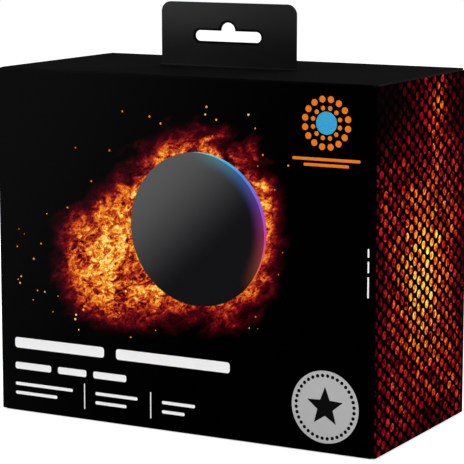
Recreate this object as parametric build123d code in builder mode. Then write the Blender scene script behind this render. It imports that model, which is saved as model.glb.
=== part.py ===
from build123d import *
import math
import os

# Retail carton with a hang tab, folded from one die-cut blank of printed card.
# Millimetres: X runs across the front, Y from the front to the back, Z up, and the origin lies under the
# middle of the base. The blank wraps round as top, front, base and back panels. A roof ply runs on from the
# back under the top panel, is glued to it and turns up through a slit as the hang tab. Each end closes with
# a tuck flap, creased along the front panel's side edge, over a pair of dust flaps.

# Carton body
carton_width = 180.0  # across the front, over both end flaps
carton_depth = 90.0  # front face to back face
carton_height = 150.0  # base to top panel, without the hang tab
board = 0.8  # thickness of the card
crease_radius = 1.2  # outside radius of a fold

# Hang tab
tab_width = 65.0
tab_height = 27.5  # above the top panel
tab_corner = 4.4
tab_face = -3.0  # the tab's front face, from mid-depth
slit_gap = 0.5  # play behind and beside the tab in the top panel's slit
lip_radius = 0.8  # front edge of the slit, turned up against the tab
lip_overhang = 0.4  # lip beyond each side of the tab

# Hanger slot: a long bar with a round hump over its middle
slot_width = 32.0
slot_bar = 4.6  # height of the bar
slot_rise = 8.2  # bar's lower edge to the top of the hump
slot_foot = 11.0  # top panel to the bar's lower edge
hump_width = 7.0

# End flaps
edge_gap = 0.5  # end flap short of the top and base faces
tongue_length = 16.0
tongue_lean = 7.0  # degrees inwards, which lets the tongue swing out past the back panel
tongue_gap = 0.3  # tongue to the inside of the back panel
tongue_corner = 9.0
shoulder_height = 5.0  # flap corner left standing beyond each end of the tongue
shoulder_corner = 1.2
lock_slit = 0.6  # cut between a shoulder and the tongue

# Dust flaps
flap_gap = 0.3  # end flap to the dust flaps under it
dust_length = 42.0  # top or base face to the free edge
dust_front_gap = 1.2  # clear of the inside of the front panel
dust_rear_gap = 5.0  # clear of the inside of the back panel, for the tongue
dust_straight = 14.0  # length of the rear edge before it slants
dust_rake = 12.0  # how far the slant brings the rear edge forward
dust_corner = 5.0

# Places that the panels share
half_width = carton_width / 2
half_depth = carton_depth / 2
dust_face = half_width - board - flap_gap
panel_end = dust_face - crease_radius
crease_run = 2 * crease_radius
roof_face = carton_height - board
hinge_y = crease_radius - half_depth
flap_low = edge_gap
flap_high = carton_height - edge_gap
tongue_face = half_depth - board - tongue_gap
tuck_start = tongue_face - crease_run
dust_front = board + dust_front_gap - half_depth
dust_rear = half_depth - board - dust_rear_gap

os.makedirs("parts", exist_ok=True)

# One dust flap, creased down from the top panel's right-hand edge
with BuildPart() as dust_flap:
    with BuildSketch(Plane.XZ.offset(-dust_rear)):
        with BuildLine():
            FilletPolyline(
                (dust_face - crease_run, carton_height),
                (dust_face, carton_height),
                (dust_face, carton_height - crease_run),
                radius=crease_radius,
            )
            offset(amount=board, side=Side.RIGHT)
        make_face()
    extrude(amount=dust_rear - dust_front)
    with BuildSketch(Plane.YZ.offset(dust_face)) as dust_outline:
        with BuildLine():
            Polyline(
                (dust_front, carton_height - crease_radius),
                (dust_front, carton_height - dust_length),
                (dust_rear - dust_rake, carton_height - dust_length),
                (dust_rear, carton_height - dust_straight),
                (dust_rear, carton_height - crease_radius),
                close=True,
            )
        make_face()
        fillet(dust_outline.vertices().group_by(Axis.Z)[0], radius=dust_corner)
    extrude(amount=-board)

# What the carton has at its right-hand end: two dust flaps, the front panel's side crease and the back
# panel's side edge
with BuildPart() as carton_end:
    add(dust_flap.part)
    mirror(dust_flap.part, about=Plane.XY.offset(carton_height / 2))
    with BuildSketch(Plane.XY.offset(flap_low)):
        with BuildLine():
            front_run = Line((panel_end, -half_depth), (half_width - crease_radius, -half_depth))
            TangentArc(front_run @ 1, (half_width, hinge_y), tangent=front_run % 1)
            offset(amount=board, side=Side.LEFT)
        make_face()
    extrude(amount=flap_high - flap_low)
    with BuildSketch(Plane.XZ.offset(-half_depth)):
        with BuildLine():
            Polyline(
                (panel_end, flap_low),
                (half_width, flap_low),
                (half_width, roof_face - edge_gap),
                (panel_end, roof_face - edge_gap),
                close=True,
            )
        make_face()
    extrude(amount=board)

with BuildPart() as carton:
    # Top, front, base and back panels, bent from one strip
    with BuildSketch(Plane.YZ):
        with BuildLine():
            FilletPolyline(
                (half_depth, carton_height),
                (-half_depth, carton_height),
                (-half_depth, 0),
                (half_depth, 0),
                (half_depth, roof_face - crease_radius),
                radius=crease_radius,
            )
            offset(amount=board, side=Side.LEFT)
        make_face()
    extrude(amount=panel_end, both=True)
    # Slit in the top panel for the tab
    with BuildSketch(Plane.XY.offset(carton_height)):
        with Locations((0, tab_face)):
            Rectangle(
                tab_width + 2 * slit_gap,
                board + slit_gap,
                align=(Align.CENTER, Align.MIN),
            )
    extrude(amount=-board, mode=Mode.SUBTRACT)
    # Roof ply from the back panel's top crease, glued under the top panel
    with BuildSketch(Plane.YZ):
        with BuildLine():
            FilletPolyline(
                (half_depth, roof_face - crease_run),
                (half_depth, roof_face),
                (tab_face + board, roof_face),
                radius=crease_radius,
            )
            offset(amount=board, side=Side.LEFT)
        make_face()
    extrude(amount=panel_end, both=True)
    # Hang tab, creased up from the roof ply
    with BuildSketch(Plane.YZ):
        with BuildLine():
            foot = Line(
                (tab_face + board + crease_run, roof_face - board),
                (tab_face + board, roof_face - board),
            )
            TangentArc(foot @ 1, (tab_face, roof_face), tangent=foot % 1)
            Polyline(
                (tab_face, roof_face),
                (tab_face, carton_height + tab_height),
                (tab_face + board, carton_height + tab_height),
                (tab_face + board, roof_face),
                (tab_face + board + crease_run, roof_face),
                foot @ 0,
            )
        make_face()
    extrude(amount=tab_width / 2, both=True)
    fillet(carton.edges().filter_by(Axis.Y).group_by(Axis.Z)[-1], radius=tab_corner)
    with BuildSketch(Plane.XZ.offset(-tab_face)):
        with Locations((0, carton_height + slot_foot + slot_bar / 2)):
            SlotOverall(slot_width, slot_bar)
        with Locations((0, carton_height + slot_foot + slot_rise - hump_width / 2)):
            Circle(hump_width / 2)
            Rectangle(
                hump_width,
                slot_rise - hump_width / 2 - slot_bar / 2,
                align=(Align.CENTER, Align.MAX),
            )
    extrude(amount=-board, mode=Mode.SUBTRACT)
    # Edge of the slit, turned up against the foot of the tab
    with BuildSketch(Plane.YZ):
        with Locations((tab_face, carton_height)):
            Circle(lip_radius)
            Rectangle(lip_radius, lip_radius, align=(Align.MAX, Align.MIN), mode=Mode.INTERSECT)
    extrude(amount=tab_width / 2 + lip_overhang, both=True)
    # Both ends
    add(carton_end.part)
    mirror(carton_end.part, about=Plane.YZ)

with BuildPart() as right_end_flap:
    # Outer panel, with the shoulders that lock behind the dust flaps
    with BuildSketch(Plane.YZ.offset(half_width)) as flap_outline:
        with BuildLine():
            Polyline(
                (hinge_y, flap_low),
                (tongue_face, flap_low),
                (tongue_face, flap_low + shoulder_height),
                (tuck_start, flap_low + shoulder_height),
                (tuck_start, flap_high - shoulder_height),
                (tongue_face, flap_high - shoulder_height),
                (tongue_face, flap_high),
                (hinge_y, flap_high),
                close=True,
            )
        make_face()
        fillet(flap_outline.vertices().group_by(Axis.Y)[-1], radius=shoulder_corner)
    extrude(amount=-board)
    # Tuck crease and tongue
    with BuildSketch(Plane.XY.offset(flap_low + shoulder_height + lock_slit)):
        with BuildLine():
            lean = math.radians(tongue_lean)
            FilletPolyline(
                (half_width, tuck_start - crease_run),
                (half_width, tongue_face),
                (half_width - tongue_length * math.cos(lean), tongue_face - tongue_length * math.sin(lean)),
                radius=crease_radius,
            )
            offset(amount=board, side=Side.LEFT)
        make_face()
    extrude(amount=flap_high - flap_low - 2 * (shoulder_height + lock_slit))
    tongue_tip = right_end_flap.faces().sort_by(Axis.X)[0]
    fillet(tongue_tip.edges().filter_by(Axis.Z, reverse=True), radius=tongue_corner)

with BuildPart() as left_end_flap:
    mirror(right_end_flap.part, about=Plane.YZ)

carton.part.label = "carton"
right_end_flap.part.label = "right_end_flap"
left_end_flap.part.label = "left_end_flap"

export_step(carton.part, "parts/carton.step")
export_step(right_end_flap.part, "parts/right_end_flap.step")
export_step(left_end_flap.part, "parts/left_end_flap.step")
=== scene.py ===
"""Dresses the hang tab carton: satin black card, a generic ember print, and a plain studio round it.

Sizes and places are in millimetres, in the carton's own frame, until a mesh, a light or the camera takes
them: X runs across the front, Y from the front to the back and Z up from the base.
"""

import logging
import math
import random
from dataclasses import dataclass
from enum import Enum, IntEnum

import bmesh
import bpy
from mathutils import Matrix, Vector


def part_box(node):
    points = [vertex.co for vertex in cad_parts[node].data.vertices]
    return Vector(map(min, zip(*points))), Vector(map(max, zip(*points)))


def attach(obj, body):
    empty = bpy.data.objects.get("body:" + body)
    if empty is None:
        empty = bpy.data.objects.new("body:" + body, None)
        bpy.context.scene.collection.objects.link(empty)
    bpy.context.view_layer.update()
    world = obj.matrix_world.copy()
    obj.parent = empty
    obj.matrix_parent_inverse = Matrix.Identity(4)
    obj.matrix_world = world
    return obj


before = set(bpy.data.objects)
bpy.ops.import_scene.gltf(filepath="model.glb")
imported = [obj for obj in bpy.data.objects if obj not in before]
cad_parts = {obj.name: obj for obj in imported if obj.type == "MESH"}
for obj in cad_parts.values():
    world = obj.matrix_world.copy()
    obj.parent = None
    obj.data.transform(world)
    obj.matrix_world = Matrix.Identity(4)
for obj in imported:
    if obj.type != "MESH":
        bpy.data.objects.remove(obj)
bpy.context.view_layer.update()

MM = 0.001
QUARTER_TURN = 90.0
HALF_TURN = 180.0
LOG = logging.getLogger("carton")

Socket = bpy.types.NodeSocket
Colour = tuple[float, float, float]
Place = tuple[float, float, float]
Point = tuple[float, float]
Value = Socket | float | tuple

WHITE: Colour = (1.0, 1.0, 1.0)


class Body(Enum):
    """Bodies that the pieces ride on, each named as its folded piece."""

    CARTON = "carton"
    RIGHT_FLAP = "right_end_flap"
    LEFT_FLAP = "left_end_flap"


class CardSlot(Enum):
    """Material slot of the record for the black card."""

    BLACK = "black_card"


@dataclass(frozen=True)
class CartonBox:
    """Outside of the carton below its hang tab."""

    half_width: float
    half_depth: float
    height: float

    @classmethod
    def from_frame(cls, decimals: int = 2) -> "CartonBox":
        """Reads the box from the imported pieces.

        An end flap stops as far below the top as it starts above the base, so its two heights add up to
        the carton's.

        Args:
            decimals: Number of decimals that the sizes are rounded to.

        Returns:
            The box.
        """
        low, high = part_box(Body.RIGHT_FLAP.value)
        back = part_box(Body.CARTON.value)[1].y
        return cls(*(round(size / MM, decimals) for size in (high.x, back, low.z + high.z)))


BOX = CartonBox.from_frame()


@dataclass(frozen=True)
class Clouds:
    """Kind of cloud noise: the size of a cloud, its number of finer layers and how far it is twisted."""

    size: float = 1.0
    layers: float = 2.0
    twist: float = 0.0


class Graph:
    """Short calls that add shader nodes to one tree."""

    def __init__(self, tree: bpy.types.NodeTree) -> None:
        """Keeps the tree that the calls add to.

        Args:
            tree: Node tree of a material, a world or a group.
        """
        self.tree = tree

    def feed(self, socket: Socket, value: Value) -> None:
        """Links a socket to another one, or sets its plain value.

        Args:
            socket: Input socket to feed.
            value: Output socket, number, vector or colour.
        """
        if isinstance(value, bpy.types.NodeSocket):
            self.tree.links.new(value, socket)
        elif socket.type == "RGBA":
            socket.default_value = (*value, 1.0)
        else:
            socket.default_value = value

    def node(self, kind: str, **settings: object) -> bpy.types.Node:
        """Adds a node.

        Args:
            kind: Type name of the node.
            **settings: Attributes to set on it.

        Returns:
            The new node.
        """
        made = self.tree.nodes.new(kind)
        for name, value in settings.items():
            setattr(made, name, value)
        return made

    def math(self, operation: str, *values: Value, clamp: bool = False) -> Socket:
        """Does one sum on numbers.

        Args:
            operation: Name of the operation, as Blender's Math node has it.
            *values: Its one to three inputs.
            clamp: Whether the result is kept between 0 and 1.

        Returns:
            The result.
        """
        made = self.node("ShaderNodeMath", operation=operation, use_clamp=clamp)
        for socket, value in zip(made.inputs, values):
            self.feed(socket, value)
        return made.outputs[0]

    def vector(self, operation: str, *values: Value) -> bpy.types.Node:
        """Does one sum on vectors.

        Args:
            operation: Name of the operation, as Blender's Vector Math node has it.
            *values: Its inputs.

        Returns:
            The node, whose outputs are "Vector" and "Value".
        """
        made = self.node("ShaderNodeVectorMath", operation=operation)
        for socket, value in zip(made.inputs, values):
            self.feed(socket, value)
        return made

    def smooth(self, value: Value, start: float, end: float, low: float = 0.0, high: float = 1.0) -> Socket:
        """Eases a number from one level to another.

        Args:
            value: Number to ease.
            start: Where the change starts.
            end: Where it ends.
            low: Result at the start and before it.
            high: Result at the end and after it.

        Returns:
            The eased number.
        """
        made = self.node("ShaderNodeMapRange", interpolation_type="SMOOTHSTEP")
        for name, number in (
            ("Value", value),
            ("From Min", start),
            ("From Max", end),
            ("To Min", low),
            ("To Max", high),
        ):
            self.feed(made.inputs[name], number)
        return made.outputs["Result"]

    def mix(self, factor: Value, low: Value, high: Value, blend: str = "MIX") -> Socket:
        """Mixes two colours.

        Args:
            factor: Share of the second colour.
            low: First colour.
            high: Second colour.
            blend: Blend mode.

        Returns:
            The mixed colour.
        """
        made = self.node("ShaderNodeMix", data_type="RGBA", blend_type=blend)
        colours = [socket for socket in made.inputs if socket.type == "RGBA"]
        self.feed(made.inputs[0], factor)
        self.feed(colours[0], low)
        self.feed(colours[1], high)
        return [socket for socket in made.outputs if socket.type == "RGBA"][0]

    def blend(self, factor: Value, low: Value, high: Value) -> Socket:
        """Mixes two numbers.

        Args:
            factor: Share of the second number.
            low: First number.
            high: Second number.

        Returns:
            The mixed number.
        """
        made = self.node("ShaderNodeMix", data_type="FLOAT")
        numbers = [socket for socket in made.inputs if socket.type == "VALUE"]
        for socket, value in zip(numbers, (factor, low, high)):
            self.feed(socket, value)
        return made.outputs[0]

    def ramp(self, value: Value, stops: tuple[tuple[float, Colour], ...]) -> Socket:
        """Looks a number up in a band of colours.

        Args:
            value: Number between 0 and 1.
            stops: Places and colours along the band.

        Returns:
            The colour.
        """
        made = self.node("ShaderNodeValToRGB")
        band = made.color_ramp.elements
        while len(band) < len(stops):
            band.new(1.0)
        for element, (place, colour) in zip(band, stops):
            element.position = place
            element.color = (*colour, 1.0)
        self.feed(made.inputs["Fac"], value)
        return made.outputs["Color"]

    def noise(self, position: Value, clouds: Clouds, size: Value | None = None) -> bpy.types.Node:
        """Adds cloud noise.

        Args:
            position: Place in millimetres.
            clouds: Kind of clouds.
            size: Size of a cloud, where it isn't the kind's own.

        Returns:
            The node, whose outputs are "Fac" and "Color".
        """
        made = self.node("ShaderNodeTexNoise")
        self.feed(made.inputs["Vector"], position)
        self.feed(made.inputs["Scale"], self.math("DIVIDE", 1.0, clouds.size if size is None else size))
        self.feed(made.inputs["Detail"], clouds.layers)
        self.feed(made.inputs["Distortion"], clouds.twist)
        return made

    def split(self, vector: Socket) -> tuple[Socket, Socket, Socket]:
        """Splits a vector into its three numbers.

        Args:
            vector: Vector to split.

        Returns:
            Its X, Y and Z.
        """
        parts = self.node("ShaderNodeSeparateXYZ")
        self.feed(parts.inputs[0], vector)
        return parts.outputs[0], parts.outputs[1], parts.outputs[2]

    def join(self, x: Value, y: Value, z: Value) -> Socket:
        """Joins three numbers into a vector.

        Args:
            x: First number.
            y: Second number.
            z: Third number.

        Returns:
            The vector.
        """
        made = self.node("ShaderNodeCombineXYZ")
        for socket, value in zip(made.inputs, (x, y, z)):
            self.feed(socket, value)
        return made.outputs[0]

    def length(self, across: Value, up: Value) -> Socket:
        """Measures the length of a flat vector."""
        return self.vector("LENGTH", self.join(across, up, 0.0)).outputs["Value"]

    def use(self, group: bpy.types.NodeTree, **values: Value) -> bpy.types.Node:
        """Places a node group.

        Args:
            group: Group to place.
            **values: Its inputs by name, with spaces as underscores.

        Returns:
            The group's node.
        """
        made = self.node("ShaderNodeGroup")
        made.node_tree = group
        for name, value in values.items():
            self.feed(made.inputs[name.replace("_", " ")], value)
        return made


class Effects:
    """Shader node groups that several finishes share."""

    FIBRE = Clouds(layers=3.0, twist=0.6)
    PEEL = Clouds(layers=1.0)
    MOTTLE = Clouds(16.0, layers=4.0)
    FIBRE_SHARE = 0.35
    BARE_SPAN = (-0.60, -0.40)
    CUT_SPAN = (0.45, 0.60)
    FOLD_SPAN = (0.30, 0.66)
    HEAT_BAND = (
        (0.00, (0.0, 0.0, 0.0)),
        (0.14, (0.036, 0.0005, 0.003)),
        (0.27, (0.135, 0.0025, 0.006)),
        (0.40, (0.340, 0.016, 0.008)),
        (0.52, (0.590, 0.074, 0.009)),
        (0.66, (0.810, 0.195, 0.014)),
        (0.80, (0.940, 0.380, 0.030)),
        (0.92, (0.995, 0.570, 0.070)),
        (1.00, (1.000, 0.790, 0.240)),
    )
    FLOW = Clouds(layers=5.0, twist=0.8)
    THREADS = Clouds(layers=4.0, twist=1.4)
    THREAD_SHARE = 0.42
    THREAD_GAIN = 5.0
    BODY_SPAN = (0.34, 0.70)
    BODY_SHARE = 0.75
    RIDGE_SHARE = 0.45
    MIDDLE = 0.5
    RIM_BAND = (
        (0.00, (0.80, 0.16, 0.02)),
        (0.25, (0.62, 0.05, 0.24)),
        (0.50, (0.26, 0.10, 0.72)),
        (0.75, (0.05, 0.26, 0.80)),
        (1.00, (0.10, 0.66, 0.82)),
    )

    def __init__(self) -> None:
        """Builds every group once."""
        self.card_grain = self._card_grain()
        self.folded_card = self._folded_card()
        self.black_ink = self._black_ink()
        self.ember = self._ember()
        self.turbulence = self._turbulence()
        self.ball_place = self._ball_place()
        self.rim_hue = self._rim_hue()

    @staticmethod
    def group(
        name: str, inputs: tuple[tuple[str, str], ...], outputs: tuple[tuple[str, str], ...]
    ) -> tuple[Graph, bpy.types.Node, bpy.types.Node]:
        """Starts a node group.

        Args:
            name: Name of the group.
            inputs: Name and kind of each input.
            outputs: Name and kind of each output.

        Returns:
            The group's graph, its input node and its output node.
        """
        tree = bpy.data.node_groups.new(name, "ShaderNodeTree")
        for side, sockets in (("INPUT", inputs), ("OUTPUT", outputs)):
            for label, kind in sockets:
                tree.interface.new_socket(label, in_out=side, socket_type=f"NodeSocket{kind}")
        graph = Graph(tree)
        return graph, graph.node("NodeGroupInput"), graph.node("NodeGroupOutput")

    def _card_grain(self) -> bpy.types.NodeTree:
        """Builds the card's surface: fibres, the peel of its film, and soft mottling.

        Returns:
            The group.
        """
        graph, given, result = self.group(
            "Card grain",
            (("Position", "Vector"), ("Fibre", "Float"), ("Peel", "Float")),
            (("Height", "Float"), ("Mottle", "Float")),
        )
        position = given.outputs["Position"]
        fibre = graph.noise(position, self.FIBRE, given.outputs["Fibre"])
        peel = graph.noise(position, self.PEEL, given.outputs["Peel"])
        mottle = graph.noise(position, self.MOTTLE)
        height = graph.blend(self.FIBRE_SHARE, peel.outputs["Fac"], fibre.outputs["Fac"])
        graph.feed(result.inputs["Height"], height)
        graph.feed(result.inputs["Mottle"], mottle.outputs["Fac"])
        return graph.tree

    def _folded_card(self) -> bpy.types.NodeTree:
        """Tells the printed side of folded card from its bare side, and finds its cut edges and folds.

        The card is a shell about a core box. Its printed side faces away from the box, its bare side faces
        the box and a cut edge faces along it. A fold is where a point lies beyond the box on two sides.

        Returns:
            The group.
        """
        graph, given, result = self.group(
            "Folded card",
            (
                ("Position", "Vector"),
                ("Normal", "Vector"),
                ("Low corner", "Vector"),
                ("High corner", "Vector"),
                ("Reach", "Float"),
            ),
            (("Printed", "Float"), ("Cut", "Float"), ("Fold", "Float")),
        )
        position = given.outputs["Position"]
        raised = graph.vector("MAXIMUM", position, given.outputs["Low corner"]).outputs["Vector"]
        core = graph.vector("MINIMUM", raised, given.outputs["High corner"]).outputs["Vector"]
        beyond = graph.vector("SUBTRACT", position, core).outputs["Vector"]
        way = graph.vector("NORMALIZE", beyond).outputs["Vector"]
        facing = graph.vector("DOT_PRODUCT", way, given.outputs["Normal"]).outputs["Value"]
        x, y, z = graph.split(graph.vector("ABSOLUTE", beyond).outputs["Vector"])
        pairs = graph.math(
            "ADD",
            graph.math("MULTIPLY", x, y),
            graph.math("MULTIPLY", z, graph.math("ADD", x, y)),
        )
        area = graph.math("MULTIPLY", given.outputs["Reach"], given.outputs["Reach"])
        cut = graph.smooth(graph.math("ABSOLUTE", facing), *self.CUT_SPAN, 1.0, 0.0)
        graph.feed(result.inputs["Printed"], graph.smooth(facing, *self.BARE_SPAN))
        graph.feed(result.inputs["Cut"], cut)
        graph.feed(result.inputs["Fold"], graph.smooth(graph.math("DIVIDE", pairs, area), *self.FOLD_SPAN))
        return graph.tree

    def _black_ink(self) -> bpy.types.NodeTree:
        """Builds the black ground of the print.

        Painted sheen makes it paler at the upper left of the front and darker towards the lower right, and
        paler towards the top on the back and the left end.

        Returns:
            The group.
        """
        ink = BlackInk()
        graph, given, result = self.group("Black ink", (("Position", "Vector"),), (("Color", "Color"),))
        position = given.outputs["Position"]
        x, y, z = graph.split(position)
        # painted sheen across the front, paler at its upper left
        slant = graph.math("MULTIPLY_ADD", z, -ink.front_slant, x)
        across = graph.mix(graph.smooth(slant, *ink.front_span), ink.front_left_sheen, ink.front_right)
        solid = graph.mix(graph.smooth(y, *ink.front_start), ink.plain, across)
        # painted sheen up the back and the left end, paler towards the top
        hidden = graph.math("MAXIMUM", graph.smooth(x, *ink.left_start), graph.smooth(y, *ink.rear_start))
        fade = graph.mix(graph.smooth(z, *ink.hidden_sheen_span), ink.hidden_sheen_low, ink.hidden_sheen_high)
        solid = graph.mix(hidden, solid, fade)
        grain = graph.noise(position, ink.grain).outputs["Fac"]
        density = graph.math("MULTIPLY_ADD", grain, ink.grain_play, 1.0 - ink.grain_play * self.MIDDLE)
        uneven = graph.join(density, density, density)
        graph.feed(result.inputs["Color"], graph.mix(1.0, solid, uneven, blend="MULTIPLY"))
        return graph.tree

    def _ember(self) -> bpy.types.NodeTree:
        """Builds the band of colours from cold black through red and orange to pale yellow.

        Returns:
            The group.
        """
        graph, given, result = self.group("Ember colour", (("Heat", "Float"),), (("Color", "Color"),))
        graph.feed(result.inputs["Color"], graph.ramp(given.outputs["Heat"], self.HEAT_BAND))
        return graph.tree

    def _turbulence(self) -> bpy.types.NodeTree:
        """Builds licks of flame: thin bright threads in slower clouds.

        Returns:
            The group.
        """
        graph, given, result = self.group(
            "Flame turbulence",
            (("Position", "Vector"), ("Size", "Float")),
            (("Licks", "Float"), ("Drift", "Vector")),
        )
        position, size = given.outputs["Position"], given.outputs["Size"]
        cloud = graph.noise(position, self.FLOW, size)
        thread = graph.noise(position, self.THREADS, graph.math("MULTIPLY", size, self.THREAD_SHARE))
        ridge = self.ridge(graph, thread.outputs["Fac"], self.THREAD_GAIN)
        body = graph.math("MULTIPLY", graph.smooth(cloud.outputs["Fac"], *self.BODY_SPAN), self.BODY_SHARE)
        licks = graph.math("MULTIPLY_ADD", ridge, self.RIDGE_SHARE, body, clamp=True)
        centre = (self.MIDDLE, self.MIDDLE, self.MIDDLE)
        drift = graph.vector("SUBTRACT", cloud.outputs["Color"], centre).outputs["Vector"]
        graph.feed(result.inputs["Licks"], licks)
        graph.feed(result.inputs["Drift"], drift)
        return graph.tree

    @classmethod
    def ridge(cls, graph: Graph, cloud: Socket, gain: float) -> Socket:
        """Turns cloud noise into threads, which run where the noise is middling.

        Args:
            graph: Graph to add to.
            cloud: Cloud noise from 0 to 1.
            gain: How thin the threads are.

        Returns:
            Number that is 1 along a thread.
        """
        swing = graph.math("MULTIPLY_ADD", cloud, gain, -gain * cls.MIDDLE)
        return graph.math("SUBTRACT", 1.0, graph.math("ABSOLUTE", swing), clamp=True)

    def _ball_place(self) -> bpy.types.NodeTree:
        """Measures a point of the front from the ember ball's middle.

        Returns:
            The group, which gives distances to the right and up, and along and across the ball's trail.
        """
        plan = BallPlan()
        graph, given, result = self.group(
            "Ball place",
            (("Position", "Vector"),),
            (("Over", "Float"), ("Up", "Float"), ("Along", "Float"), ("Across", "Float")),
        )
        x, _, z = graph.split(given.outputs["Position"])
        over = graph.math("SUBTRACT", x, plan.centre[0])
        up = graph.math("SUBTRACT", z, plan.centre[1])
        angle = math.radians(plan.trail_angle)
        cos, sin = math.cos(angle), math.sin(angle)
        along = graph.math("MULTIPLY_ADD", over, cos, graph.math("MULTIPLY", up, sin))
        across = graph.math("MULTIPLY_ADD", up, cos, graph.math("MULTIPLY", over, -sin))
        for name, value in (("Over", over), ("Up", up), ("Along", along), ("Across", across)):
            graph.feed(result.inputs[name], value)
        return graph.tree

    def _rim_hue(self) -> bpy.types.NodeTree:
        """Builds the rim's band of colours, laid round the ball's leading side.

        Returns:
            The group.
        """
        plan = BallPlan()
        graph, given, result = self.group("Rim hue", (("Position", "Vector"),), (("Color", "Color"),))
        place = graph.use(self.ball_place, Position=given.outputs["Position"]).outputs
        lead, half = math.radians(plan.lead_angle), math.radians(plan.rim_half_sweep)
        sweep = graph.smooth(graph.math("ARCTAN2", place["Up"], place["Over"]), lead - half, lead + half)
        graph.feed(result.inputs["Color"], graph.ramp(sweep, self.RIM_BAND))
        return graph.tree


@dataclass(frozen=True)
class BlackInk:
    """Black ground of the print, with painted sheen on the front, the back and the left end."""

    plain: Colour = (0.0046, 0.0045, 0.0045)
    # painted sheen on the front: paler at its upper left, black at its lower right
    front_left_sheen: Colour = (0.0042, 0.0041, 0.0041)
    front_right: Colour = (0.0001, 0.0001, 0.0001)
    front_slant: float = 0.6  # how far the front's painted sheen leans with the height
    front_span: Point = (-175.0, -5.0)  # where it runs, along that slant
    front_start: Point = (1.0 - BOX.half_depth, 0.2 - BOX.half_depth)
    # painted sheen on the back and the left end, paler towards the top
    hidden_sheen_low: Colour = (0.0085, 0.0084, 0.0084)
    hidden_sheen_high: Colour = (0.0165, 0.0163, 0.0163)
    hidden_sheen_span: Point = (0.0, BOX.height)
    left_start: Point = (0.20 - BOX.half_width, 0.02 - BOX.half_width)
    rear_start: Point = (BOX.half_depth - 0.20, BOX.half_depth - 0.02)
    grain: Clouds = Clouds(0.9, layers=3.0)
    grain_play: float = 0.5


@dataclass(frozen=True)
class Spot:
    """A point on a piece, with what its finish is mixed from."""

    graph: Graph
    effects: Effects
    position: Socket
    normal: Socket
    mottle: Socket
    x: Socket
    y: Socket
    z: Socket


@dataclass(frozen=True)
class Finish:
    """A surface with the grain of card under it. Each kind paints its own colour."""

    roughness: float = 0.55
    roughness_play: float = 0.14
    fibre: float = 0.32  # size of a fibre of the card
    peel: float = 1.5  # size of a dimple of its film
    bump: float = 0.10
    bump_depth: float = 0.06
    specular: float = 0.002
    metallic: float = 0.0

    def material(self, name: str, effects: Effects) -> bpy.types.Material:
        """Builds the material.

        Args:
            name: Name of the material.
            effects: Shared node groups.

        Returns:
            The material.
        """
        made = bpy.data.materials.new(name)
        made.use_nodes = True
        graph = Graph(made.node_tree)
        shader = made.node_tree.nodes["Principled BSDF"]
        where = graph.node("ShaderNodeTexCoord")
        scaled = graph.vector("SCALE", where.outputs["Object"])
        scaled.inputs["Scale"].default_value = 1.0 / MM
        position = scaled.outputs["Vector"]
        grain = graph.use(effects.card_grain, Position=position, Fibre=self.fibre, Peel=self.peel)
        mottle = grain.outputs["Mottle"]
        spot = Spot(graph, effects, position, where.outputs["Normal"], mottle, *graph.split(position))
        colour, rough = self.paint(spot)
        play = graph.math("MULTIPLY_ADD", mottle, self.roughness_play, -self.roughness_play / 2)
        bump = graph.node("ShaderNodeBump")
        bump.inputs["Strength"].default_value = self.bump
        bump.inputs["Distance"].default_value = self.bump_depth * MM
        graph.feed(bump.inputs["Height"], grain.outputs["Height"])
        graph.feed(shader.inputs["Base Color"], colour)
        graph.feed(shader.inputs["Roughness"], graph.math("ADD", play, rough))
        graph.feed(shader.inputs["Normal"], bump.outputs["Normal"])
        shader.inputs["Specular IOR Level"].default_value = self.specular
        shader.inputs["Metallic"].default_value = self.metallic
        return made

    def paint(self, spot: Spot) -> tuple[Socket, Value]:
        """Mixes the colour and the roughness.

        Args:
            spot: Point on the piece.

        Returns:
            The base colour and the roughness.
        """
        raise NotImplementedError


@dataclass(frozen=True)
class Oval:
    """An oval patch of an end. Its level is the heat that its middle adds, or the share that it leaves."""

    y: float
    z: float
    half_width: float
    half_height: float
    level: float

    def off(self, graph: Graph, y: Socket, z: Socket) -> Socket:
        """Measures how far a point lies from the oval's middle, as a share of its size.

        Args:
            graph: Graph to add to.
            y: Distance of the point behind the carton's middle.
            z: Its height above the base.

        Returns:
            The share, which is 1 on the oval's edge.
        """
        across = graph.math("DIVIDE", graph.math("SUBTRACT", y, self.y), self.half_width)
        up = graph.math("DIVIDE", graph.math("SUBTRACT", z, self.z), self.half_height)
        return graph.length(across, up)


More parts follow.
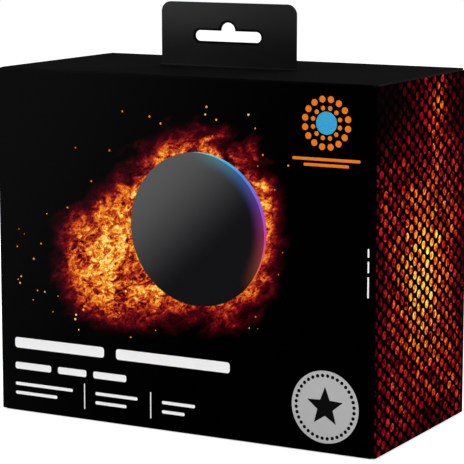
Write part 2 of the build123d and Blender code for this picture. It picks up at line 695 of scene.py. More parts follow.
@dataclass(frozen=True)
class EmberMesh:
    """A black mesh of round holes with embers glowing behind it, for the right end."""

    column_pitch: float = 4.19
    hole_pitch: float = 5.64
    first_column: float = -41.4
    first_hole: float = 1.5
    stagger: float = 0.5  # shift of every other column, in pitches of its holes
    stagger_every: float = 2.0
    hole_radius: float = 1.74
    edge: float = 0.14  # half the soft edge of a hole
    cloud_size: float = 21.0
    cloud_gain: float = 0.36
    spark_size: float = 4.6
    spark_gain: float = 1.30
    streaks: Clouds = Clouds(2.3, layers=3.0, twist=1.2)
    streak_thinness: float = 7.5
    streak_gain: float = 1.05
    least: float = -1.49  # flicker where there is no cloud, spark or streak
    swing: float = 1.5  # how strongly the embers flicker, by their heat
    most_swing: float = 0.46
    rise: float = 0.7  # share of the height that the clouds see, which makes them taller than wide
    low_heat: float = 0.27  # heat away from the glows
    band: tuple[tuple[float, Colour], ...] = (
        (0.00, (0.0, 0.0, 0.0)),
        (0.12, (0.020, 0.0, 0.0012)),
        (0.24, (0.104, 0.0002, 0.004)),
        (0.36, (0.250, 0.0006, 0.008)),
        (0.48, (0.475, 0.008, 0.011)),
        (0.62, (0.785, 0.056, 0.010)),
        (0.78, (0.990, 0.290, 0.011)),
        (0.90, (1.000, 0.640, 0.026)),
        (1.00, (1.000, 0.920, 0.170)),
    )
    glows: tuple[Oval, ...] = (
        Oval(1.0, 69.0, 37.0, 52.0, 0.49),
        Oval(12.0, 124.0, 11.0, 38.0, 0.22),
        Oval(-30.0, 118.0, 12.0, 14.0, 0.06),
        Oval(24.0, 30.0, 26.0, 28.0, 0.12),
    )
    shadows: tuple[Oval, ...] = (
        Oval(-45.0, 154.0, 48.0, 56.0, 0.08),
        Oval(46.0, 148.0, 34.0, 46.0, 0.26),
        Oval(-8.0, 135.0, 24.0, 34.0, 0.72),
        Oval(2.0, -6.0, 62.0, 24.0, 0.50),
        Oval(-50.0, 40.0, 20.0, 80.0, 0.55),
        Oval(52.0, 56.0, 24.0, 78.0, 0.55),
    )
    shadow_span: Point = (0.25, 1.0)

    def group(self, effects: Effects) -> bpy.types.NodeTree:
        """Builds the mesh as a node group, because the end flap and its crease both carry it.

        Args:
            effects: Shared node groups.

        Returns:
            The group.
        """
        graph, given, result = effects.group(
            "Ember mesh", (("Position", "Vector"), ("Web", "Color")), (("Color", "Color"),)
        )
        _, y, z = graph.split(given.outputs["Position"])
        embers = graph.ramp(self._heat(graph, effects, y, z), self.band)
        holes = self._holes(graph, y, z)
        graph.feed(result.inputs["Color"], graph.mix(holes, given.outputs["Web"], embers))
        return graph.tree

    def _holes(self, graph: Graph, y: Socket, z: Socket) -> Socket:
        """Lays the holes out in columns, with every other column half a pitch higher.

        Args:
            graph: Graph of the group.
            y: Distance behind the carton's middle.
            z: Height above its base.

        Returns:
            Mask that is 1 in a hole.
        """
        column = graph.math("DIVIDE", graph.math("SUBTRACT", y, self.first_column), self.column_pitch)
        number = graph.math("ROUND", column)
        across = graph.math("MULTIPLY", graph.math("SUBTRACT", column, number), self.column_pitch)
        raised = graph.math("FLOORED_MODULO", number, self.stagger_every)
        lift = graph.math("MULTIPLY", raised, self.stagger)
        row = graph.math("DIVIDE", graph.math("SUBTRACT", z, self.first_hole), self.hole_pitch)
        row = graph.math("ADD", row, lift)
        off_row = graph.math("SUBTRACT", row, graph.math("ROUND", row))
        up = graph.math("MULTIPLY", off_row, self.hole_pitch)
        off = graph.length(across, up)
        return graph.smooth(off, self.hole_radius - self.edge, self.hole_radius + self.edge, 1.0, 0.0)

    def _heat(self, graph: Graph, effects: Effects, y: Socket, z: Socket) -> Socket:
        """Works out how hot the embers behind the mesh are.

        Args:
            graph: Graph of the group.
            effects: Shared node groups.
            y: Distance behind the carton's middle.
            z: Height above its base.

        Returns:
            Heat from 0 to 1.
        """
        total: Value = self.low_heat
        for glow in self.glows:
            warmth = graph.smooth(glow.off(graph, y, z), 0.0, 1.0, glow.level, 0.0)
            total = graph.math("ADD", total, warmth)
        for shadow in self.shadows:
            shade = graph.smooth(shadow.off(graph, y, z), *self.shadow_span, shadow.level, 1.0)
            total = graph.math("MULTIPLY", total, shade)
        place = graph.join(y, graph.math("MULTIPLY", z, self.rise), 0.0)
        cloud = graph.use(effects.turbulence, Position=place, Size=self.cloud_size).outputs["Licks"]
        spark = graph.use(effects.turbulence, Position=place, Size=self.spark_size).outputs["Licks"]
        streak = effects.ridge(graph, graph.noise(place, self.streaks).outputs["Fac"], self.streak_thinness)
        flicker = graph.math("MULTIPLY_ADD", cloud, self.cloud_gain, self.least)
        flicker = graph.math("MULTIPLY_ADD", spark, self.spark_gain, flicker)
        flicker = graph.math("MULTIPLY_ADD", streak, self.streak_gain, flicker)
        swing = graph.math("MINIMUM", graph.math("MULTIPLY", total, self.swing), self.most_swing)
        return graph.math("MULTIPLY_ADD", flicker, swing, total, clamp=True)


@dataclass(frozen=True)
class Core:
    """Box that folded card is wrapped round, with the distance from it to the card's outside."""

    low: Place
    high: Place
    reach: float


@dataclass(frozen=True, kw_only=True)
class CardFinish(Finish):
    """Satin card, printed black on one side and bare on the other."""

    core: Core
    board: Colour = (0.330, 0.300, 0.262)
    board_roughness: float = 0.82
    fleck: Colour = (0.185, 0.165, 0.142)
    flecks: Clouds = Clouds(1.1, layers=4.0)
    fleck_span: Point = (0.52, 0.70)
    cut_edge: Colour = (0.0105, 0.0100, 0.0092)
    crease: Colour = (0.010, 0.0097, 0.0095)
    crease_share: float = 0.10
    creases: Clouds = Clouds(6.0, layers=4.0)
    crease_span: Point = (0.30, 0.70)

    def paint(self, spot: Spot) -> tuple[Socket, Value]:
        """Mixes printed ink, stretched a little paler along its folds, bare board and cut edges.

        Args:
            spot: Point on the piece.

        Returns:
            The base colour and the roughness.
        """
        graph = spot.graph
        card = graph.use(
            spot.effects.folded_card,
            Position=spot.position,
            Normal=spot.normal,
            Low_corner=self.core.low,
            High_corner=self.core.high,
            Reach=self.core.reach,
        )
        printed = card.outputs["Printed"]
        ink = graph.use(spot.effects.black_ink, Position=spot.position).outputs["Color"]
        ink = self.art(spot, ink)
        patches = graph.noise(spot.position, self.creases).outputs["Fac"]
        stretch = graph.smooth(patches, *self.crease_span, 0.0, self.crease_share)
        ink = graph.mix(graph.math("MULTIPLY", card.outputs["Fold"], stretch), ink, self.crease)
        flecks = graph.noise(spot.position, self.flecks).outputs["Fac"]
        bare = graph.mix(graph.smooth(flecks, *self.fleck_span), self.board, self.fleck)
        face = graph.mix(printed, bare, ink)
        rough = graph.blend(printed, self.board_roughness, self.roughness)
        return graph.mix(self.cut(spot, card.outputs["Cut"]), face, self.cut_edge), rough

    def art(self, spot: Spot, ink: Socket) -> Socket:
        """Leaves the black as it is."""
        return ink

    def cut(self, spot: Spot, edge: Socket) -> Socket:
        """Leaves the cut edges as they are found."""
        return edge


@dataclass(frozen=True, kw_only=True)
class MeshCardFinish(CardFinish):
    """Card of the right end flap, with the ember mesh on its outer panel."""

    mesh: bpy.types.NodeTree
    mesh_start: Point = (BOX.half_width - 0.7, BOX.half_width - 0.3)
    specular: float = 0.001

    def art(self, spot: Spot, ink: Socket) -> Socket:
        """Prints the mesh on the outer panel.

        Args:
            spot: Point on the piece.
            ink: Black ink there.

        Returns:
            The printed colour.
        """
        graph = spot.graph
        mesh = graph.use(self.mesh, Position=spot.position, Web=BlackInk().front_right).outputs["Color"]
        return graph.mix(graph.smooth(spot.x, *self.mesh_start), ink, mesh)


@dataclass(frozen=True)
class HangerSlot:
    """The tab's slot: a long bar with round ends, and a round hump over its middle."""

    width: float = 32.0
    bar: float = 4.6  # height of the bar
    rise: float = 8.2  # bar's lower edge to the top of the hump
    foot: float = BOX.height + 11.0  # height of that lower edge
    hump: float = 7.0  # width of the hump

    def outside(self, graph: Graph, x: Socket, z: Socket) -> Socket:
        """Measures how far a point of the tab lies from the slot.

        Args:
            graph: Graph to add to.
            x: Distance of the point to the right of the carton's middle.
            z: Its height above the base.

        Returns:
            The distance.
        """
        end, top = self.bar / 2, self.hump / 2
        beyond = graph.math("SUBTRACT", graph.math("ABSOLUTE", x), self.width / 2 - end)
        up = graph.math("SUBTRACT", z, self.foot + end)
        bar = graph.length(graph.math("MAXIMUM", beyond, 0.0), up)
        hump = graph.length(x, graph.math("SUBTRACT", z, self.foot + self.rise - top))
        return graph.math("MINIMUM", graph.math("SUBTRACT", bar, end), graph.math("SUBTRACT", hump, top))


@dataclass(frozen=True, kw_only=True)
class WrapCardFinish(CardFinish):
    """Card of the carton, with painted sheen that makes the hang tab paler, most at its upper left, and the
    mesh running on over the right-hand crease.
    """

    mesh: bpy.types.NodeTree
    mesh_start: Point = (BOX.half_width - 0.55, BOX.half_width - 0.25)
    mesh_end: Point = (5.0 - BOX.half_depth, 3.0 - BOX.half_depth)
    tab_start: Point = (BOX.height, BOX.height + 0.6)
    # painted sheen on the tab: paler towards its top and its left
    tab_sheen_rise: Point = (BOX.height + 6.0, BOX.height + 27.0)
    tab_sheen_span: Point = (32.0, -32.0)
    tab_sheen_low: tuple[Colour, Colour] = ((0.0082, 0.0081, 0.0081), (0.0134, 0.0133, 0.0133))  # right, left
    tab_sheen_high: tuple[Colour, Colour] = ((0.0196, 0.0194, 0.0194), (0.0375, 0.0372, 0.0372))
    slot: HangerSlot = HangerSlot()
    slot_margin: Point = (0.60, 1.15)  # deepest black round the slot
    cut_end: Point = (BOX.height - 0.10, BOX.height - 0.02)
    # the back panel's side edges, and painted shade of the fold's groove on the bare card next to them
    back_edge_and_shade_side: Point = (BOX.half_width - 1.6, BOX.half_width - 1.4)
    back_edge_and_shade_start: Point = (BOX.half_depth - 1.0, BOX.half_depth - 0.9)
    back_edge_and_shade_end: Point = (BOX.half_depth - 0.04, BOX.half_depth - 0.10)

    def cut(self, spot: Spot, edge: Socket) -> Socket:
        """Adds the back panel's side edges, with painted shade of the side folds' grooves on a margin of
        bare card inside them, and leaves out the tab's black edges.

        Args:
            spot: Point on the piece.
            edge: Mask of the cut edges that were found.

        Returns:
            The mask that is used.
        """
        graph = spot.graph
        # back panel's side edges, and a margin of bare card beside them painted in the cut edge's colour as
        # shade of the groove
        side = graph.smooth(graph.math("ABSOLUTE", spot.x), *self.back_edge_and_shade_side)
        edge_and_shade_band = graph.math("MULTIPLY", side, graph.smooth(spot.y, *self.back_edge_and_shade_start))
        back = graph.math("MULTIPLY", edge_and_shade_band, graph.smooth(spot.y, *self.back_edge_and_shade_end))
        below = graph.smooth(spot.z, *self.cut_end, 1.0, 0.0)
        return graph.math("MULTIPLY", graph.math("MAXIMUM", edge, back), below)

    def art(self, spot: Spot, ink: Socket) -> Socket:
        """Paints sheen on the tab's black, paler towards its upper left, darkens it round the slot and
        prints the edge of the mesh.

        Args:
            spot: Point on the piece.
            ink: Black ink there.

        Returns:
            The printed colour.
        """
        graph = spot.graph
        # painted sheen on the tab's black, paler towards its upper left
        left, rise = graph.smooth(spot.x, *self.tab_sheen_span), graph.smooth(spot.z, *self.tab_sheen_rise)
        tab = graph.mix(rise, graph.mix(left, *self.tab_sheen_low), graph.mix(left, *self.tab_sheen_high))
        off_slot = graph.smooth(self.slot.outside(graph, spot.x, spot.z), *self.slot_margin)
        tab = graph.mix(off_slot, BlackInk().front_right, tab)
        ink = graph.mix(graph.smooth(spot.z, *self.tab_start), ink, tab)
        mesh = graph.use(self.mesh, Position=spot.position, Web=BlackInk().front_right).outputs["Color"]
        on_crease = graph.math(
            "MULTIPLY", graph.smooth(spot.x, *self.mesh_start), graph.smooth(spot.y, *self.mesh_end)
        )
        return graph.mix(on_crease, ink, mesh)


@dataclass(frozen=True)
class InkFinish(Finish):
    """One flat ink, with the slight unevenness of a printed solid."""

    colour: Colour = (0.0, 0.0, 0.0)
    density_play: float = 0.06
    roughness: float = 0.45
    bump: float = 0.06
    specular: float = 0.10

    def paint(self, spot: Spot) -> tuple[Socket, Value]:
        """Varies the ink's density."""
        thin = tuple(part * (1.0 - self.density_play) for part in self.colour)
        return spot.graph.mix(spot.mottle, self.colour, thin), self.roughness


@dataclass(frozen=True)
class BallPlan:
    """Places of the ember ball and its trail on the front."""

    centre: Point = (9.0, 87.0)
    radius: float = 32.0
    trail_angle: float = 204.0
    trail_length: float = 46.0
    field: tuple[float, float, float, float] = (-85.0, 53.0, 36.5, 147.0)  # left, right, low and high
    rim_half_sweep: float = 72.0

    @property
    def lead_angle(self) -> float:
        """Gives the turn of the ball's leading side, opposite its trail."""
        return self.trail_angle - HALF_TURN


@dataclass(frozen=True)
class FlameFinish(Finish):
    """Flames about the ember ball, fading into the black of the front."""

    plan: BallPlan = BallPlan()
    taper: float = 0.42  # how much the trail narrows, as a share of the ball's radius
    start: float = -4.0  # where the flames thin out, from the edge of the ball and the trail
    reach: float = 15.0  # where they end
    size: float = 11.0
    fine_size: float = 2.7
    stretch: float = 1.4  # how far a lick is drawn out along the trail
    sway: float = 24.0  # how far the clouds push the flames about
    gain: float = 0.70
    fine_gain: float = 1.20
    least: float = 0.18
    curls: Clouds = Clouds(3.6, layers=4.0, twist=1.6)
    curl_thinness: float = 8.5
    curl_gain: float = 0.30
    border: float = 14.0  # where the flames fade, inside the edges of their field

    def paint(self, spot: Spot) -> tuple[Socket, Value]:
        """Works out how hot the flame is, and colours it.

        Args:
            spot: Point on the piece.

        Returns:
            The base colour and the roughness.
        """
        graph = spot.graph
        place = graph.use(spot.effects.ball_place, Position=spot.position).outputs
        along, across = place["Along"], place["Across"]
        streak = graph.join(graph.math("DIVIDE", along, self.stretch), across, 0.0)
        flow = graph.use(spot.effects.turbulence, Position=streak, Size=self.size)
        drift_along, drift_across, _ = graph.split(flow.outputs["Drift"])
        along = graph.math("MULTIPLY_ADD", drift_along, self.sway, along)
        across = graph.math("MULTIPLY_ADD", drift_across, self.sway, across)
        radius, length = self.plan.radius, self.plan.trail_length
        share = graph.math("DIVIDE", along, length, clamp=True)
        behind = graph.math("MULTIPLY_ADD", share, -length, along)
        width = graph.math("MULTIPLY_ADD", share, -self.taper * radius, radius)
        outside = graph.math("SUBTRACT", graph.length(behind, across), width)
        body = graph.smooth(outside, self.start, self.reach, 1.0, 0.0)
        fine = graph.use(spot.effects.turbulence, Position=streak, Size=self.fine_size).outputs["Licks"]
        licks = graph.math("MULTIPLY", flow.outputs["Licks"], self.gain)
        licks = graph.math("MULTIPLY", licks, graph.math("MULTIPLY_ADD", fine, self.fine_gain, self.least))
        curls = graph.noise(streak, self.curls).outputs["Fac"]
        threads = spot.effects.ridge(graph, curls, self.curl_thinness)
        licks = graph.math("MULTIPLY_ADD", threads, self.curl_gain, licks)
        heat = graph.math("MULTIPLY", graph.math("MULTIPLY", body, licks), self._inside(spot), clamp=True)
        flames = graph.use(spot.effects.ember, Heat=heat).outputs["Color"]
        ground = graph.use(spot.effects.black_ink, Position=spot.position).outputs["Color"]
        return graph.mix(1.0, ground, flames, blend="ADD"), self.roughness

    def _inside(self, spot: Spot) -> Socket:
        """Fades the flames out towards the edges of their field.

        Args:
            spot: Point on the field.

        Returns:
            Share of the flames that is left.
        """
        graph = spot.graph
        left, right, low, high = self.plan.field
        sides = (
            (spot.x, left, left + self.border),
            (spot.x, right, right - self.border),
            (spot.z, low, low + self.border),
            (spot.z, high, high - self.border),
        )
        share: Value = 1.0
        for place, edge, whole in sides:
            share = graph.math("MULTIPLY", share, graph.smooth(place, edge, whole))
        return share


@dataclass(frozen=True)
class RimFinish(Finish):
    """Bright line on the ball's leading side, from orange through violet to cyan."""

    def paint(self, spot: Spot) -> tuple[Socket, Value]:
        """Colours the line."""
        return spot.graph.use(spot.effects.rim_hue, Position=spot.position).outputs["Color"], self.roughness


@dataclass(frozen=True)
class BallFinish(Finish):
    """The dark ball, with a soft sheen at its upper left and the rim's glow at its leading side."""

    plan: BallPlan = BallPlan()
    shade: Colour = (0.0070, 0.0066, 0.0080)
    sheen: Colour = (0.092, 0.092, 0.094)
    light_over: float = -0.58  # way to the sheen, to the right and up
    light_up: float = 0.62
    sheen_span: Point = (-0.30, 0.85)
    lead_span: Point = (-0.25, -0.90)
    glow_depth: float = 7.5
    glow: float = 0.34

    def paint(self, spot: Spot) -> tuple[Socket, Value]:
        """Shades the ball and lets the rim glow into it.

        Args:
            spot: Point on the piece.

        Returns:
            The base colour and the roughness.
        """
        graph = spot.graph
        radius = self.plan.radius
        place = graph.use(spot.effects.ball_place, Position=spot.position).outputs
        over, up = place["Over"], place["Up"]
        raised = graph.math("MULTIPLY", up, self.light_up / radius)
        lean = graph.math("MULTIPLY_ADD", over, self.light_over / radius, raised)
        ball = graph.mix(graph.smooth(lean, *self.sheen_span), self.shade, self.sheen)
        leading = graph.smooth(graph.math("DIVIDE", place["Along"], radius), *self.lead_span)
        inward = graph.math("SUBTRACT", radius, graph.length(over, up))
        glow = graph.math("MULTIPLY", leading, graph.smooth(inward, 0.0, self.glow_depth, self.glow, 0.0))
        hue = graph.use(spot.effects.rim_hue, Position=spot.position).outputs["Color"]
        return graph.mix(glow, ball, hue), self.roughness


@dataclass(frozen=True)
class SparkFinish(Finish):
    """Small sparks, each as hot as its place in a slow cloud of heat."""

    clouds: Clouds = Clouds(7.0)
    cloud_span: Point = (0.30, 0.70)
    heat_span: Point = (0.52, 0.96)

    def paint(self, spot: Spot) -> tuple[Socket, Value]:
        """Colours each spark by the cloud at its place.

        Args:
            spot: Point on the piece.

        Returns:
            The base colour and the roughness.
        """
        graph = spot.graph
        cloud = graph.noise(spot.position, self.clouds).outputs["Fac"]
        heat = graph.smooth(cloud, *self.cloud_span, *self.heat_span)
        return graph.use(spot.effects.ember, Heat=heat).outputs["Color"], self.roughness


class Print(Enum):
    """Inks and pictures of the pieces printed on the front."""

    WHITE = "white_ink"
    ORANGE = "orange_ink"
    BLUE = "blue_ink"
    SILVER = "silver_ink"
    BLACK = "black_ink"
    FLAMES = "flame_print"
    BALL = "ball_print"
    RIM = "rim_print"
    SPARKS = "spark_print"


PRINT_FINISHES: dict[Print, Finish] = {
    Print.WHITE: InkFinish(colour=(0.92, 0.92, 0.92)),
    Print.ORANGE: InkFinish(colour=(0.79, 0.18, 0.006)),
    Print.BLUE: InkFinish(colour=(0.036, 0.350, 0.630)),
    Print.SILVER: InkFinish(colour=(0.47, 0.47, 0.475), metallic=0.15, roughness=0.38),
    Print.BLACK: InkFinish(colour=(0.003, 0.003, 0.003), specular=0.02),
    Print.FLAMES: FlameFinish(),
    Print.BALL: BallFinish(),
    Print.RIM: RimFinish(),
    Print.SPARKS: SparkFinish(),
}


@dataclass(frozen=True)
class DotRing:
    """A ring of dots: its radius, their number and the radius of each."""

    radius: float
    count: int
    dot_radius: float


class Outline:
    """Outlines of the printed shapes, as points on the front seen from outside, anticlockwise."""

    ARC_STEPS = 8
    SPARK_STEPS = 8
    DOT_STEPS = 20
    ROUND_STEPS = 48
    LARGE_STEPS = 96
    FIRST_DOT = 0.5  # first dot of a ring, in steps from its right-hand side

    @staticmethod
    def at(centre: Point, reach: float, angle: float) -> Point:
        """Finds the point that lies a distance from another one, at an angle in radians."""
        return centre[0] + reach * math.cos(angle), centre[1] + reach * math.sin(angle)

    @classmethod
    def bar(cls, left: float, right: float, low: float, high: float, radius: float) -> list[Point]:
        """Draws a bar with rounded corners.

        Args:
            left: Left edge.
            right: Right edge.
            low: Lower edge.
            high: Upper edge.
            radius: Radius of the corners.

        Returns:
            Points of the outline.
        """
        corners = (
            (right - radius, low + radius),
            (right - radius, high - radius),
            (left + radius, high - radius),
            (left + radius, low + radius),
        )
        points = []
        for quarter, corner in enumerate(corners, start=-1):
            for step in range(cls.ARC_STEPS + 1):
                turn = QUARTER_TURN * (quarter + step / cls.ARC_STEPS)
                points.append(cls.at(corner, radius, math.radians(turn)))
        return points

    @classmethod
    def disc(cls, centre: Point, radius: float, steps: int = ROUND_STEPS) -> list[Point]:
        """Draws a round disc."""
        return [cls.at(centre, radius, math.tau * step / steps) for step in range(steps)]

    @classmethod
    def dots(cls, centre: Point, ring: DotRing) -> list[list[Point]]:
        """Draws a ring of dots.

        Args:
            centre: Middle of the ring.
            ring: Sizes of the ring.

        Returns:
            One outline a dot.
        """
        turns = [math.tau * (step + cls.FIRST_DOT) / ring.count for step in range(ring.count)]
        middles = [cls.at(centre, ring.radius, turn) for turn in turns]
        return [cls.disc(middle, ring.dot_radius, cls.DOT_STEPS) for middle in middles]

    @classmethod
    def star(cls, centre: Point, radius: float, waist: float, points: int) -> list[Point]:
        """Draws a star that stands on two of its points.

        Args:
            centre: Middle of the star.
            radius: Radius to the points.
            waist: Radius to the notches.
            points: Number of points.

        Returns:
            Points of the outline.
        """
        made = []
        for step in range(2 * points):
            reach = waist if step % 2 else radius
            made.append(cls.at(centre, reach, math.pi / 2 + math.pi * step / points))
        return made

    @classmethod
    def crescent(
        cls, centre: Point, radius: float, width: float, middle: float, half_sweep: float
    ) -> list[Point]:
        """Draws a crescent along the edge of a disc, thickest in its middle.

        Args:
            centre: Middle of the disc.
            radius: Radius of the disc.
            width: Width of the crescent in its middle.
            middle: Turn of the crescent's middle, in degrees.
            half_sweep: Turn from there to either tip, in degrees.

        Returns:
            Points of the outline.
        """
        shares = [2.0 * step / cls.ROUND_STEPS - 1.0 for step in range(cls.ROUND_STEPS + 1)]
        outer = [(share, radius) for share in shares]
        inner = [(share, radius - width * math.cos(share * math.pi / 2)) for share in shares[-2:0:-1]]
        points = []
        for share, reach in outer + inner:
            points.append(cls.at(centre, reach, math.radians(middle + half_sweep * share)))
        return points


class Layer(IntEnum):
    """Number of films that the face of a printed piece lies above the card."""

    FIRST = 1
    SECOND = 2
    THIRD = 3


@dataclass(frozen=True)
class PiecePlan:
    """One printed piece: its name, the outlines of its shapes, its ink and its layer."""

    name: str
    outlines: list[list[Point]]
    ink: Print
    layer: Layer


@dataclass
class FrontPrint:
    """Pieces printed on the front: the ember ball, bars, rules, a round seal and a rosette."""

    front: float
    film: float = 0.03
    plan: BallPlan = BallPlan()
    field_corner: float = 4.0
    rim_width: float = 1.3
    spark_count: int = 64
    spark_seed: int = 11
    spark_sizes: Point = (0.22, 0.55)
    spark_run: Point = (-1.7, 3.0)  # along the trail, in radii of the ball
    spark_spread: float = 0.85  # across it
    spark_margin: float = 2.0  # clear of the ball and of the field's edges
    headline: tuple[Point, ...] = ((-82.5, -37.0), (-31.0, 24.0))
    headline_rows: Point = (28.2, 32.8)
    headline_corner: float = 1.3
    subline: tuple[Point, ...] = ((-82.5, -64.0), (-60.5, -46.0), (-42.5, -26.0))
    subline_rows: Point = (18.8, 21.8)
    subline_corner: float = 0.9
    columns: tuple[tuple[Point, Point], ...] = (
        ((-82.5, -53.0), (-82.5, -61.0)),
        ((-41.5, -20.5), (-41.5, -26.0)),
        ((-8.5, 7.5), (-8.5, 2.5)),
    )
    column_rows: tuple[Point, Point] = ((11.5, 12.9), (7.5, 8.9))
    column_corner: float = 0.6
    rules: tuple[float, ...] = (-47.0, -14.0)
    rule_rows: Point = (4.7, 16.0)
    rule_width: float = 0.5
    rule_corner: float = 0.2
    edge_bars: tuple[Point, ...] = ((65.5, 74.0), (75.6, 80.2), (81.8, 85.3))
    edge_place: float = 86.3
    edge_width: float = 0.7
    edge_corner: float = 0.3
    strap_rows: tuple[Point, Point] = ((118.9, 120.1), (116.6, 117.8))
    strap_ends: tuple[Point, Point] = ((52.5, 82.5), (57.5, 77.5))
    strap_corner: float = 0.5
    seal_centre: Point = (67.7, 19.2)
    seal_radius: float = 15.0
    seal_ring: DotRing = DotRing(13.0, 36, 0.75)
    star_radius: float = 8.4
    star_waist: float = 3.6
    star_points: int = 5
    rosette_centre: Point = (67.5, 134.0)
    outer_ring: DotRing = DotRing(9.6, 16, 1.35)
    inner_ring: DotRing = DotRing(6.1, 12, 0.95)
    core_radius: float = 4.6

    def build(self, prints: dict[Print, bpy.types.Material]) -> list[bpy.types.Object]:
        """Builds every piece.

        Args:
            prints: Materials of the inks and pictures.

        Returns:
            The pieces.
        """
        plans = (*self._picture(), *self._bars(), *self._marks())
        return [self._piece(plan, prints[plan.ink]) for plan in plans]

    def _picture(self) -> tuple[PiecePlan, ...]:
        """Lays out the ember ball, its flames and its sparks.

        Returns:
            Plans of the pieces.
        """
        plan = self.plan
        field = Outline.bar(*plan.field, self.field_corner)
        ball = Outline.disc(plan.centre, plan.radius, Outline.LARGE_STEPS)
        rim = Outline.crescent(
            plan.centre, plan.radius, self.rim_width, plan.lead_angle, plan.rim_half_sweep
        )
        return (
            PiecePlan("flame_field", [field], Print.FLAMES, Layer.FIRST),
            PiecePlan("ember_ball", [ball], Print.BALL, Layer.SECOND),
            PiecePlan("ball_rim", [rim], Print.RIM, Layer.THIRD),
            PiecePlan("sparks", self._sparks(), Print.SPARKS, Layer.SECOND),
        )

    def _sparks(self) -> list[list[Point]]:
        """Scatters sparks about the ball and its trail.

        Returns:
            One outline a spark.
        """
        draw = random.Random(self.spark_seed)
        angle = math.radians(self.plan.trail_angle)
        left, right, low, high = self.plan.field
        margin = self.spark_margin
        made = []
        while len(made) < self.spark_count:
            along = draw.uniform(*self.spark_run) * self.plan.radius
            across = draw.gauss(0.0, self.spark_spread) * self.plan.radius
            size = draw.uniform(*self.spark_sizes)
            x = self.plan.centre[0] + along * math.cos(angle) - across * math.sin(angle)
            z = self.plan.centre[1] + along * math.sin(angle) + across * math.cos(angle)
            clear = math.hypot(along, across) > self.plan.radius + margin
            if clear and left + margin < x < right - margin and low + margin < z < high - margin:
                made.append(Outline.disc((x, z), size, Outline.SPARK_STEPS))
        return made

    def _bars(self) -> tuple[PiecePlan, ...]:
        """Lays out plain bars in rows, with rules between their columns.

        Returns:
            Plans of the pieces.
        """
        half_rule, half_edge = self.rule_width / 2, self.edge_width / 2
        headline = [Outline.bar(*ends, *self.headline_rows, self.headline_corner) for ends in self.headline]
        subline = [Outline.bar(*ends, *self.subline_rows, self.subline_corner) for ends in self.subline]
        features = [
            Outline.bar(*ends, *rows, self.column_corner)
            for column in self.columns
            for ends, rows in zip(column, self.column_rows)
        ]
        rules = [
            Outline.bar(place - half_rule, place + half_rule, *self.rule_rows, self.rule_corner)
            for place in self.rules
        ]
        left, right = self.edge_place - half_edge, self.edge_place + half_edge
        edge = [Outline.bar(left, right, *rows, self.edge_corner) for rows in self.edge_bars]
        strap = [
            Outline.bar(*ends, *rows, self.strap_corner)
            for ends, rows in zip(self.strap_ends, self.strap_rows)
        ]
        return (
            PiecePlan("headline_bars", headline, Print.WHITE, Layer.FIRST),
            PiecePlan("subline_bars", subline, Print.WHITE, Layer.FIRST),
            PiecePlan("feature_lines", features, Print.WHITE, Layer.FIRST),
            PiecePlan("column_rules", rules, Print.WHITE, Layer.FIRST),
            PiecePlan("edge_bars", edge, Print.WHITE, Layer.FIRST),
            PiecePlan("strap_bars", strap, Print.ORANGE, Layer.SECOND),
        )

    def _marks(self) -> tuple[PiecePlan, ...]:
        """Lays out the round seal and the rosette.

        Returns:
            Plans of the pieces.
        """
        seal, rosette = self.seal_centre, self.rosette_centre
        disc = Outline.disc(seal, self.seal_radius, Outline.LARGE_STEPS)
        star = Outline.star(seal, self.star_radius, self.star_waist, self.star_points)
        core = Outline.disc(rosette, self.core_radius)
        return (
            PiecePlan("seal_disc", [disc], Print.SILVER, Layer.FIRST),
            PiecePlan("seal_dots", Outline.dots(seal, self.seal_ring), Print.BLACK, Layer.SECOND),
            PiecePlan("seal_star", [star], Print.BLACK, Layer.SECOND),
            PiecePlan("rosette_ring", Outline.dots(rosette, self.outer_ring), Print.ORANGE, Layer.FIRST),
            PiecePlan("rosette_inner", Outline.dots(rosette, self.inner_ring), Print.ORANGE, Layer.FIRST),
            PiecePlan("rosette_core", [core], Print.BLUE, Layer.FIRST),
        )

    def _piece(self, plan: PiecePlan, ink: bpy.types.Material) -> bpy.types.Object:
        """Builds one piece of thin closed shapes on the front.

        Args:
            plan: Plan of the piece.
            ink: Its material.

        Returns:
            The piece, riding on the carton.
        """
        mesh = bpy.data.meshes.new(plan.name)
        build = bmesh.new()
        outer = (self.front - plan.layer * self.film) * MM
        inner = (self.front + self.film) * MM
        for outline in plan.outlines:
            near = [build.verts.new((x * MM, outer, z * MM)) for x, z in outline]
            far = [build.verts.new((x * MM, inner, z * MM)) for x, z in outline]
            build.faces.new(near)
            build.faces.new(far[::-1])
            for i in range(len(outline)):
                build.faces.new((near[i], near[i - 1], far[i - 1], far[i]))
        bmesh.ops.recalc_face_normals(build, faces=build.faces)
        build.to_mesh(mesh)
        build.free()
        mesh.materials.append(ink)
        piece = bpy.data.objects.new(plan.name, mesh)
        bpy.context.scene.collection.objects.link(piece)
        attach(piece, Body.CARTON.value)
        return piece


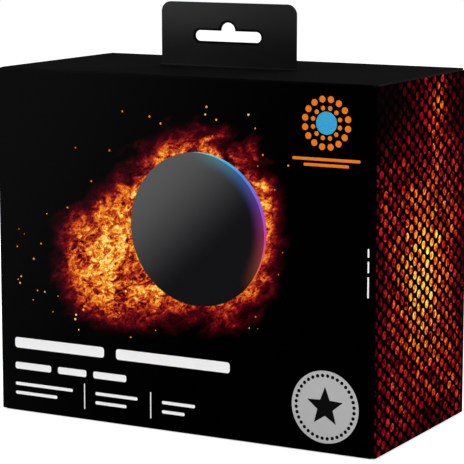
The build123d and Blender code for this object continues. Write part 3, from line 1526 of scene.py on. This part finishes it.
@dataclass
class Carton:
    """The carton's three folded pieces and the print on them."""

    box: CartonBox = BOX
    core_reach: float = 2.0
    tongue_reach: float = 5.0  # the carton's back to the end flaps' core, in front of their tongues
    unfolded: float = 500.0  # far end of a core where its card has no fold

    def dress(self, effects: Effects) -> None:
        """Gives each folded piece its card.

        Args:
            effects: Shared node groups.
        """
        reach, far = self.core_reach, self.unfolded
        end, side = self.box.half_width - reach, self.box.half_depth - reach
        rear, top = self.box.half_depth - self.tongue_reach, self.box.height - reach
        wrap = Core((-end, -side, reach), (end, side, top), reach)
        flap = Core((-end, -far, -far), (end, rear, far), reach)
        mesh = EmberMesh().group(effects)
        finishes = {
            Body.CARTON: WrapCardFinish(core=wrap, mesh=mesh),
            Body.RIGHT_FLAP: MeshCardFinish(core=flap, mesh=mesh),
            Body.LEFT_FLAP: CardFinish(core=flap),
        }
        for body, finish in finishes.items():
            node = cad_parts[body.value]
            node.data.materials.clear()
            node.data.materials.append(finish.material(f"{body.value}_card", effects))
            LOG.info("dressed %s", node.name)

    def print_front(self, effects: Effects) -> None:
        """Prints the pieces of the front.

        Args:
            effects: Shared node groups.
        """
        prints = {ink: finish.material(ink.value, effects) for ink, finish in PRINT_FINISHES.items()}
        for piece in FrontPrint(front=-self.box.half_depth).build(prints):
            LOG.info("printed %s, %d faces", piece.name, len(piece.data.polygons))


@dataclass(frozen=True)
class Softbox:
    """One soft light, with its place and size in metres."""

    name: str
    place: Place
    width: float
    height: float
    watts: float


@dataclass
class Studio:
    """White floor, white surround, soft lights and the camera."""

    aim: Place = (0.0, 0.0, BOX.height / 2)
    azimuth: float = 28.76
    elevation: float = 9.20
    distance: float = 919.5
    offset_right: float = 0.3
    offset_up: float = 3.9
    lens: float = 165.3
    sensor: float = 36.0
    floor_size: float = 8.0  # metres
    floor_drop: float = 0.3
    floor_colour: Colour = (0.80, 0.80, 0.80)
    floor_roughness: float = 0.9
    floor_lift: float = 0.62  # glow that only the camera sees
    horizon: float = 0.04  # light of the surround, low and high
    zenith: float = 0.60
    dome_span: Point = (0.1, 0.9)  # rise of a direction over which it grows
    lights: tuple[Softbox, ...] = (
        Softbox("left_softbox", (-0.95, -1.25, 0.95), 0.9, 1.1, 16.0),
        Softbox("right_softbox", (1.55, -0.55, 0.85), 0.8, 1.0, 13.0),
        Softbox("top_softbox", (0.10, 0.15, 1.70), 1.2, 1.2, 5.0),
        Softbox("rear_softbox", (0.50, 1.65, 1.00), 0.9, 1.1, 16.0),
    )

    def build(self) -> None:
        """Builds the floor, the surround, the lights and the camera."""
        self._floor()
        self._surround()
        for light in self.lights:
            self._light(light)
        self._camera()

    def _floor(self) -> None:
        """Lays the pale floor, which keeps the carton's soft shadow."""
        half, low = self.floor_size / 2, -self.floor_drop * MM
        mesh = bpy.data.meshes.new("floor")
        corners = ((-half, -half, low), (half, -half, low), (half, half, low), (-half, half, low))
        mesh.from_pydata(corners, [], [(0, 1, 2, 3)])
        floor = bpy.data.objects.new("floor", mesh)
        bpy.context.scene.collection.objects.link(floor)
        made = bpy.data.materials.new("pale_floor")
        made.use_nodes = True
        graph = Graph(made.node_tree)
        shader = made.node_tree.nodes["Principled BSDF"]
        shader.inputs["Base Color"].default_value = (*self.floor_colour, 1.0)
        shader.inputs["Roughness"].default_value = self.floor_roughness
        shader.inputs["Specular IOR Level"].default_value = 0.0
        shader.inputs["Emission Color"].default_value = (*WHITE, 1.0)
        seen = graph.node("ShaderNodeLightPath").outputs["Is Camera Ray"]
        graph.feed(shader.inputs["Emission Strength"], graph.math("MULTIPLY", seen, self.floor_lift))
        mesh.materials.append(made)

    def _surround(self) -> None:
        """Fills the world with soft light from above, and with white where the camera sees it."""
        world = bpy.data.worlds.new("surround")
        world.use_nodes = True
        bpy.context.scene.world = world
        graph = Graph(world.node_tree)
        shader = world.node_tree.nodes["Background"]
        seen = graph.node("ShaderNodeLightPath").outputs["Is Camera Ray"]
        graph.feed(shader.inputs["Color"], WHITE)
        _, _, rise = graph.split(graph.node("ShaderNodeTexCoord").outputs["Generated"])
        dome = graph.smooth(rise, *self.dome_span, self.horizon, self.zenith)
        graph.feed(shader.inputs["Strength"], graph.blend(seen, dome, 1.0))

    def _light(self, light: Softbox) -> None:
        """Hangs one soft light and aims it at the carton.

        Args:
            light: The light.
        """
        data = bpy.data.lights.new(light.name, "AREA")
        data.shape = "RECTANGLE"
        data.size, data.size_y = light.width, light.height
        data.energy = light.watts
        lamp = bpy.data.objects.new(light.name, data)
        lamp.location = light.place
        lamp.rotation_mode = "QUATERNION"
        aim = Vector(self.aim) * MM
        lamp.rotation_quaternion = (aim - Vector(light.place)).to_track_quat("-Z", "Y")
        bpy.context.scene.collection.objects.link(lamp)

    def _camera(self) -> None:
        """Sets the camera at the photograph's viewing angle."""
        turn, rise = math.radians(self.azimuth), math.radians(self.elevation)
        back = Vector((math.sin(turn) * math.cos(rise), -math.cos(turn) * math.cos(rise), math.sin(rise)))
        right = Vector((math.cos(turn), math.sin(turn), 0.0))
        up = back.cross(right)
        data = bpy.data.cameras.new("camera")
        data.lens, data.sensor_width = self.lens, self.sensor
        camera = bpy.data.objects.new("camera", data)
        place = Vector(self.aim) + back * self.distance + right * self.offset_right + up * self.offset_up
        camera.location = place * MM
        camera.rotation_mode = "QUATERNION"
        camera.rotation_quaternion = (-back).to_track_quat("-Z", "Y")
        bpy.context.scene.collection.objects.link(camera)
        bpy.context.scene.camera = camera
        bpy.context.scene.view_settings.view_transform = "Standard"


def main() -> None:
    """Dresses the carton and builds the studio."""
    logging.basicConfig(level=logging.INFO, format="%(name)s: %(message)s")
    effects = Effects()
    carton = Carton()
    carton.dress(effects)
    carton.print_front(effects)
    Studio().build()
    bpy.context.view_layer.update()


if __name__ == "__main__":
    main()
